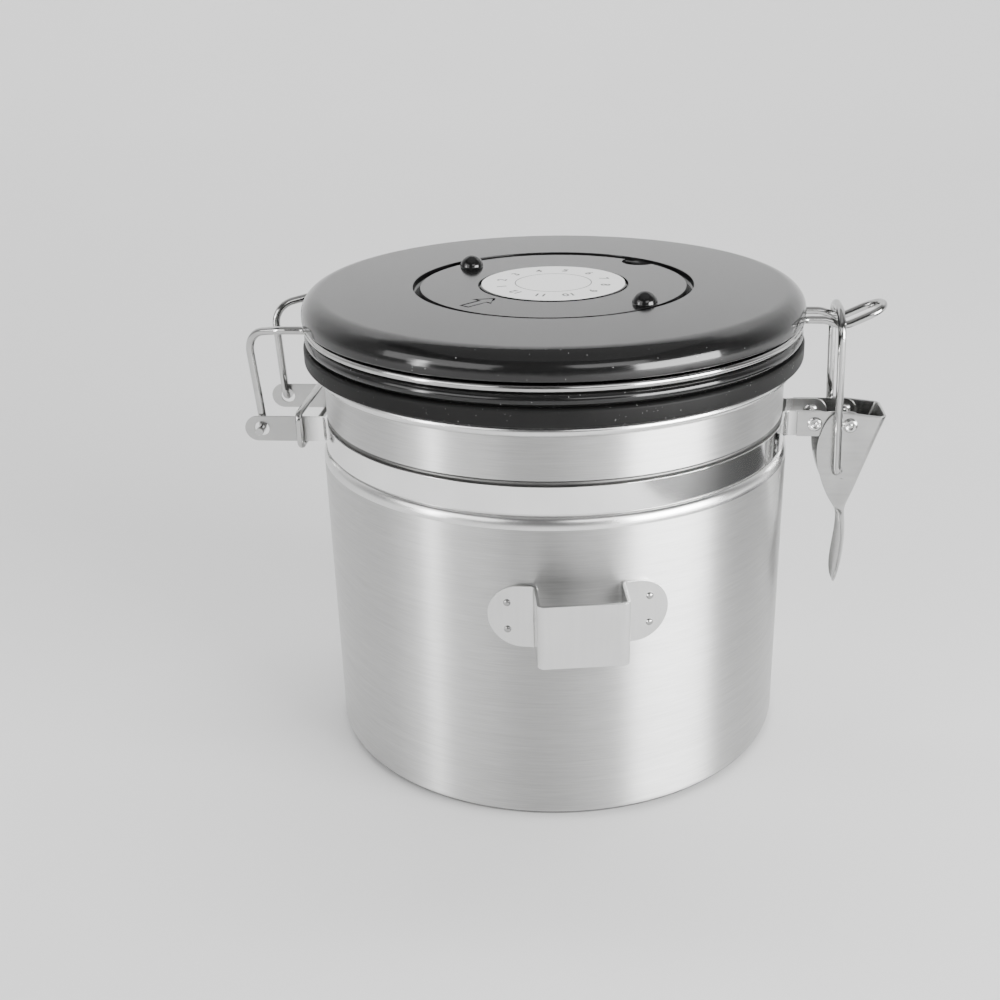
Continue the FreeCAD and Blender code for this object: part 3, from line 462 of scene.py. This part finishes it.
# Rows from the top edge to the tongue's neck, in mm from the pivot: X and Z of the cheek's edge and
# of the spine, half the width, and how far the fold has opened into a dish
rows = [
    (-3.7, 3.6, 8.9, 2.3, 6.5, 0.0), (-5.9, 1.5, 8.2, 0.3, 6.5, 0.0),
    (-7.4, -2.5, 7.0, -3.0, 6.5, 0.0), (-8.0, -6.5, 5.7, -7.0, 6.5, 0.0),
    (-7.6, -10.5, 4.4, -10.9, 6.5, 0.0),
    (-6.5, -14.7, 3.1, -14.8, 6.5, 0.0), (-5.2, -18.0, 2.1, -18.0, 6.45, 0.0),
    (-3.7, -20.8, 1.3, -20.7, 6.2, 0.1), (-2.2, -23.2, 0.9, -23.0, 5.6, 0.4),
    (-0.9, -25.2, 0.9, -25.2, 5.1, 0.8), (-0.3, -27.2, 1.1, -27.2, 5.0, 1.0),
]

# The tongue widens from its neck, bows out and ends in a half round
neck_height = rows[-1][1]
neck_half = 5.0
tongue_half = 6.3
tongue_dish = 1.25
round_from = -39.5
round_length = 7.3
for z in (-29.5, -32.0, -34.5, -37.0, -39.5, -41.5, -43.2, -44.6, -45.7, -46.4, -46.75):
    bow = 1.5 - 0.009 * (-33 - z) ** 2
    end = max(0, (round_from - z) / round_length)
    widening = min(1, (neck_height - z) / 9)
    width = (neck_half + (tongue_half - neck_half) * widening) * math.sqrt(1 - end ** 2)
    rows.append((bow - tongue_dish * width / tongue_half, z, bow, z, width, 1.0))

# Shares of the way from a cheek's edge to the spine's middle: cheek, fold and spine
fold_radius = 1.4
fold_from = 0.45
fold_to = 0.65
across = (0, 0.09, 0.18, 0.27, 0.36, 0.45, 0.50, 0.55, 0.60, 0.65, 0.76, 0.88, 1.0)
mesh = bmesh.new()
grid = []
for edge_x, edge_z, spine_x, spine_z, width, dish in rows:
    bend = min(fold_radius, (spine_x - edge_x) * 0.8, width * 0.8)
    half = []
    for share in across:
        if share <= fold_from:
            run = share / fold_from
            x = edge_x + (spine_x - bend - edge_x) * run
            y = -width
            z = edge_z + (spine_z - edge_z) * run
        elif share < fold_to:
            angle = (share - fold_from) / (fold_to - fold_from) * math.pi / 2
            x = spine_x - bend + bend * math.sin(angle)
            y = -width + bend - bend * math.cos(angle)
            z = spine_z
        else:
            x = spine_x
            y = (-width + bend) * (1 - (share - fold_to) / (1 - fold_to))
            z = spine_z
        flat_y = -width * (1 - share)
        flat_x = spine_x - (spine_x - edge_x) * (1 - share) ** 2
        half.append((
            x + (flat_x - x) * dish, y + (flat_y - y) * dish, z + (spine_z - z) * dish,
        ))
    whole = half + [(x, -y, z) for x, y, z in reversed(half[:-1])]
    grid.append([
        mesh.verts.new((pivot[0] + x / 1000, y / 1000, pivot[1] + z / 1000)) for x, y, z in whole
    ])
for upper, lower in zip(grid, grid[1:]):
    for a, b, c, d in zip(upper, upper[1:], lower[1:], lower):
        mesh.faces.new((a, b, c, d))

# Hole for the link's hook in each cheek: faces near it go, and a circle is bridged to their edge
hook_radius = 0.00185
cleared = 0.0026
reach = 0.0048
for side in (-1, 1):
    hole = Vector((pivot[0] - 0.0028, side * 0.0065, pivot[1] - 0.0124))
    near = [face for face in mesh.faces if (face.calc_center_median() - hole).length < cleared]
    bmesh.ops.delete(mesh, geom=near, context="FACES")
    around = [
        edge for edge in mesh.edges
        if edge.is_boundary and all((vert.co - hole).length < reach for vert in edge.verts)
        and abs(edge.verts[0].co.y - hole.y) < 0.00001
    ]
    circle = bmesh.ops.create_circle(
        mesh, segments=16, radius=hook_radius, cap_ends=False,
        matrix=Matrix.Translation(hole) @ Matrix.Rotation(math.pi / 2, 4, "X"),
    )
    rim = list({edge for vert in circle["verts"] for edge in vert.link_edges})
    bmesh.ops.bridge_loops(mesh, edges=around + rim)
bmesh.ops.recalc_face_normals(mesh, faces=mesh.faces)
for face in mesh.faces:
    face.smooth = True
lever = add_piece("latch_lever_folded", mesh, latch_steel, "lever", "sheet_steel", "latch_lever")
smooth = lever.modifiers.new("smooth", "SUBSURF")
smooth.levels = 2
smooth.render_levels = 2
thickened(lever, thickness=0.0006, edge_radius=0.00012)


# Latch link and bail wire
# Bent 2 mm wire: the stirrup that hooks into the lever and is drawn over the loop, and the one long
# wire that makes the hinge legs, the hoop round the lid and the loop.

for name in ("latch_link", "bail_wire"):
    nodes[name].material_slots[0].material = wire_steel


# Gasket
# Moulded silicone ring, matte black, pushed on round the lid's plug. It seals on the can's rim and
# holds specks of dust.

silicone, start, shader = new_finish("black_silicone", IOR=1.36, Specular_IOR_Level=0.2)
cloud = streaks(start, (60, 60, 60), 5.0)
grit = streaks(start, (1800, 1800, 1800), 2.0)
specks = grit > 0.735
feed(
    start, shader,
    Base_Color=tint(start, specks * 0.5 + cloud * 0.02, (0.004, 0.004, 0.004), (0.45, 0.45, 0.44)),
    Roughness=cloud * 0.15 + 0.42,
    Normal=bump(start, grit, 0.12, 0.00008),
)
ring_inside = 55.25
ring_outside = 63.3
ring_heights = (102.45, 106.85)
ring_bend = 0.8
ring = arc(ring_outside - ring_bend, ring_heights[0] + ring_bend, ring_bend, -90, 0)
ring += [(ring_outside, 104.9)]
ring += arc(ring_outside - ring_bend, ring_heights[1] - ring_bend, ring_bend, 0, 90)
ring = [(ring_inside, ring_heights[1]), (ring_inside, ring_heights[0])] + ring
ring += [(ring_inside, ring_heights[1])]
turned("gasket_moulded", [(0, ring)], [silicone], "lid", "black_silicone", "lid_gasket")


# Lid mouldings
# Lower moulding with the bead under the hoop, and the cover screwed on above it: black gloss plastic
# with a few grains of dust and hair scratches.

gloss, start, shader = new_finish("black_gloss_plastic", IOR=1.46)
cloud = streaks(start, (35, 35, 35), 3.0)
peel = streaks(start, (450, 450, 450), 2.0)
dust = streaks(start, (1500, 1500, 1500), 1.0) > 0.79
hairs = streaks(start, (2600, 130, 130), 2.0)
feed(
    start, shader,
    Base_Color=tint(start, dust * 0.5 + cloud * 0.01, (0.004, 0.004, 0.004), (0.5, 0.5, 0.5)),
    Roughness=cloud * 0.06 + hairs * 0.06 + 0.07,
    Normal=bump(start, peel * 0.7 + hairs * 0.3, 0.02, 0.00002),
)

# Outline in mm from the axis: underside with the cap's collar, plug with its lip, bead under the
# hoop, rim inside the cover, and the plate's top with the valve's seat
plate = (106.85, 109.05)
base = [(0, plate[0]), (15.1, plate[0]), (15.1, 101.85), (15.3, 101.65), (16.7, 101.65)]
base += [(16.9, 101.85), (16.9, plate[0]), (52.95, plate[0]), (52.95, 100.5), (53.15, 100.3)]
base += [(54.95, 100.3), (55.25, 100.5), (56.45, 102.15), (56.45, 102.35), (55.15, 102.35)]
base += [(55.15, plate[0])] + arc(61.26, 108.475, 1.6, -90, 90, 20)
base += [(58.5, 110.1), (58.5, 112.6), (56.3, 112.6), (56.3, plate[1])]
base += [(9.1, plate[1]), (9.1, 110.05), (7.7, 110.05), (7.7, plate[1]), (0, plate[1])]
turned("lid_base_moulded", [(0, base)], [gloss], "lid", "black_plastic", "lid_base")
nodes["dial_disc"].material_slots[0].material = gloss
softened("lid_cover", gloss, "lid", "black_plastic", radius=0.00020, lowest=0.1186)
softened("dial_ring", gloss, "dial", "black_plastic", radius=0.00012, lowest=0.1185)


# Dial label
# Satin white plate glued to the dial's disc, with the numbers 1 to 12 and a thin circle printed in
# grey. The ring's arrow points at them.

label_white, start, shader = new_finish("label_white", IOR=1.45)
cloud = streaks(start, (150, 150, 150), 4.0)
fibre = streaks(start, (2500, 2500, 2500), 2.0)
feed(
    start, shader,
    Base_Color=tint(start, cloud * 0.6 + fibre * 0.4, (0.86, 0.86, 0.855), (0.94, 0.94, 0.935)),
    Roughness=cloud * 0.15 + 0.32,
    Normal=bump(start, fibre, 0.05, 0.00002),
)
nodes["dial_label"].material_slots[0].material = label_white

ink, start, shader = new_finish("grey_ink", IOR=1.45)
print_grain = streaks(start, (2200, 2200, 2200), 3.0)
feed(
    start, shader,
    Base_Color=tint(start, print_grain, (0.02, 0.02, 0.02), (0.09, 0.09, 0.09)),
    Roughness=print_grain * 0.1 + 0.4,
)
label_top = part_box("dial_label")[1][2]
number_size = 0.0034
number_circle = 0.0133
number_gain = 0.00006
ink_height = 0.00002
line_inside = 0.00948
line_outside = 0.00972
mesh = bmesh.new()
for number in range(1, 13):
    letters = bpy.data.curves.new("number", "FONT")
    letters.body = str(number)
    letters.size = number_size
    letters.offset = number_gain
    letters.extrude = ink_height
    letters.align_x = "CENTER"
    letters.align_y = "CENTER"
    words = bpy.data.objects.new("number", letters)
    printed = bpy.data.meshes.new_from_object(words)
    turn = math.radians(-130 - 30 * number)
    printed.transform(
        Matrix.Translation(
            (number_circle * math.cos(turn), number_circle * math.sin(turn), label_top))
        @ Matrix.Rotation(turn - math.pi / 2, 4, "Z")
    )
    mesh.from_mesh(printed)
    bpy.data.objects.remove(words)
    bpy.data.curves.remove(letters)
    bpy.data.meshes.remove(printed)
line = [
    mesh.verts.new((radius, 0, label_top + height)) for radius, height in (
        (line_inside, -ink_height), (line_inside, ink_height),
        (line_outside, ink_height), (line_outside, -ink_height),
    )
]
edges = [mesh.edges.new(pair) for pair in zip(line, line[1:] + line[:1])]
bmesh.ops.spin(
    mesh, geom=line + edges, cent=(0, 0, 0), axis=(0, 0, 1), angle=2 * math.pi, steps=120,
    use_merge=True,
)
bmesh.ops.recalc_face_normals(mesh, faces=mesh.faces)
add_piece("dial_numbers", mesh, ink, "lid", "label_white")


# Valve
# Silicone disc that lifts in a moulded cage above the lid's plate, and a felt filter below it, held
# by a slotted cap that is pressed into the plate's collar.

inner_plastic, start, shader = new_finish("inner_plastic", IOR=1.48)
cloud = streaks(start, (90, 90, 90), 3.0)
peel = streaks(start, (1400, 1400, 1400), 2.0)
feed(
    start, shader,
    Base_Color=tint(start, cloud, (0.014, 0.014, 0.014), (0.030, 0.030, 0.030)),
    Roughness=cloud * 0.12 + 0.34,
    Normal=bump(start, peel, 0.15, 0.00005),
)
for name in ("valve_cage", "valve_cap"):
    nodes[name].material_slots[0].material = inner_plastic

clear_silicone, start, shader = new_finish("clear_silicone", IOR=1.41)
cloud = streaks(start, (300, 300, 300), 3.0)
feed(
    start, shader,
    Base_Color=tint(start, cloud, (0.62, 0.62, 0.60), (0.78, 0.78, 0.76)),
    Roughness=cloud * 0.1 + 0.35,
    Normal=bump(start, cloud, 0.08, 0.00005),
)
nodes["valve_disc"].material_slots[0].material = clear_silicone

felt, start, shader = new_finish("filter_felt", IOR=1.4)
fibre = streaks(start, (1600, 1600, 1600), 5.0)
cloud = streaks(start, (200, 200, 200), 3.0)
feed(
    start, shader,
    Base_Color=tint(start, fibre * 0.7 + cloud * 0.3, (0.50, 0.49, 0.46), (0.80, 0.79, 0.76)),
    Roughness=fibre * 0.1 + 0.85,
    Normal=bump(start, fibre, 0.5, 0.0002),
)
nodes["valve_filter"].material_slots[0].material = felt


# Studio
# Pale floor that sweeps up on every side, into a pale backdrop behind the can and a dim wall
# elsewhere. A broad softbox stands at the right, a narrow one at the left, two dimmer ones higher up;
# weak light comes from the left and from above, and one lamp lights the backdrop.

floor_radius = 1.2
sweep_bend = 0.9
sweep_height = 3.0
sweep_steps = 12
sweep_mesh = bmesh.new()
profile = [(0.0, 0.0), (0.4, 0.0), (floor_radius, 0.0)]
for step in range(1, sweep_steps + 1):
    angle = math.pi / 2 * step / sweep_steps
    profile.append((
        floor_radius + sweep_bend * math.sin(angle), sweep_bend - sweep_bend * math.cos(angle),
    ))
profile.append((floor_radius + sweep_bend, sweep_height))
edge = [sweep_mesh.verts.new((0, y, z)) for y, z in profile]
lines = [sweep_mesh.edges.new(pair) for pair in zip(edge, edge[1:])]
bmesh.ops.spin(
    sweep_mesh, geom=edge + lines, cent=(0, 0, 0), axis=(0, 0, 1), angle=2 * math.pi,
    steps=96, use_merge=True,
)
bmesh.ops.remove_doubles(sweep_mesh, verts=sweep_mesh.verts, dist=0.0001)
bmesh.ops.recalc_face_normals(sweep_mesh, faces=sweep_mesh.faces)
for face in sweep_mesh.faces:
    face.smooth = True
sweep_data = bpy.data.meshes.new("floor")
sweep_mesh.to_mesh(sweep_data)
sweep_mesh.free()
sweep = bpy.data.objects.new("floor", sweep_data)
bpy.context.scene.collection.objects.link(sweep)
pale, start, shader = new_finish("pale_floor", Roughness=0.8)
cloud = streaks(start, (3, 3, 3), 2.0)
place = start.make("ShaderNodeTexCoord", output="Object")
depth = start.make("ShaderNodeSeparateXYZ", {}, {"Vector": place}, "Y")
rise = start.make("ShaderNodeSeparateXYZ", {}, {"Vector": place}, "Z")
behind = start.make("ShaderNodeMapRange", {}, {"Value": depth, "From Min": 0.2, "From Max": 1.1})
low = start.make("ShaderNodeMapRange", {}, {"Value": rise, "From Min": 0.25, "From Max": 0.0})
pale_part = (behind + low - behind * low) * 0.95 + cloud * 0.05
feed(start, shader, Base_Color=tint(start, pale_part, (0.13, 0.13, 0.13), (0.82, 0.82, 0.82)))
sweep_data.materials.append(pale)

# Black card beside the can, outside the picture, which the polished strap mirrors at its right end
card_mesh = bmesh.new()
card_height = 0.0006
corners = [(0.185, -0.24), (0.40, -0.24), (0.40, 0.11), (0.215, 0.11)]
card_mesh.faces.new([card_mesh.verts.new((x, y, card_height)) for x, y in corners])
card_data = bpy.data.meshes.new("black_card")
card_mesh.to_mesh(card_data)
card_mesh.free()
card = bpy.data.objects.new("black_card", card_data)
bpy.context.scene.collection.objects.link(card)
black, start, shader = new_finish("black_card", Roughness=0.7)
fibre = streaks(start, (400, 400, 400), 3.0)
feed(
    start, shader,
    Base_Color=tint(start, fibre, (0.006, 0.006, 0.006), (0.014, 0.014, 0.014)),
)
card_data.materials.append(black)

world = bpy.data.worlds.new("studio")
world.use_nodes = True
world.node_tree.nodes["Background"].inputs["Color"].default_value = (1, 1, 1, 1)
world.node_tree.nodes["Background"].inputs["Strength"].default_value = 0.12
bpy.context.scene.world = world


def softbox(name, place, aim, width, height, brightness):
    """A rectangle of even light that faces a point."""
    light = bpy.data.lights.new(name, "AREA")
    light.shape = "RECTANGLE"
    light.size = width
    light.size_y = height
    light.energy = brightness * math.pi * width * height
    lamp = bpy.data.objects.new(name, light)
    lamp.location = place
    lamp.rotation_euler = (Vector(aim) - Vector(place)).to_track_quat("-Z", "Y").to_euler()
    bpy.context.scene.collection.objects.link(lamp)


middle = (0, 0, 0.06)
above = (0, 0, 0.20)
softbox("softbox_right", (0.76, -0.49, 0.23), above, 0.64, 0.40, 28.0)
softbox("softbox_left_strip", (-0.77, -0.56, 0.23), above, 0.09, 0.40, 26.0)
softbox("softbox_right_high", (0.46, -0.86, 0.62), middle, 0.62, 0.30, 4.0)
softbox("softbox_left_high", (-0.70, -0.62, 0.46), middle, 0.95, 0.40, 3.4)
softbox("softbox_left", (-1.0, 0.0, 0.50), middle, 1.0, 0.8, 0.3)
softbox("softbox_top", (0, 0, 2.7), middle, 3.6, 3.6, 0.40)
softbox("softbox_backdrop", (0, 0.9, 2.4), (0, 2.0, 0.5), 3.0, 0.5, 12.5)
bpy.data.objects["softbox_backdrop"].visible_glossy = False

camera_data = bpy.data.cameras.new("camera")
camera_data.sensor_width = 36.0
camera_data.lens = 47.19
camera_data.shift_x = -0.056
camera_data.shift_y = 0.025
camera = bpy.data.objects.new("camera", camera_data)
camera_distance = 0.3271
camera_height = 0.1965
camera_turn = math.radians(3.7)
camera_tilt = 0.415
camera_roll = -0.011
camera.matrix_world = (
    Matrix.Translation((
        camera_distance * math.sin(camera_turn), -camera_distance * math.cos(camera_turn),
        camera_height,
    ))
    @ Matrix.Rotation(camera_turn, 4, "Z")
    @ Matrix.Rotation(math.pi / 2 - camera_tilt, 4, "X")
    @ Matrix.Rotation(camera_roll, 4, "Z")
)
bpy.context.scene.collection.objects.link(camera)
bpy.context.scene.camera = camera
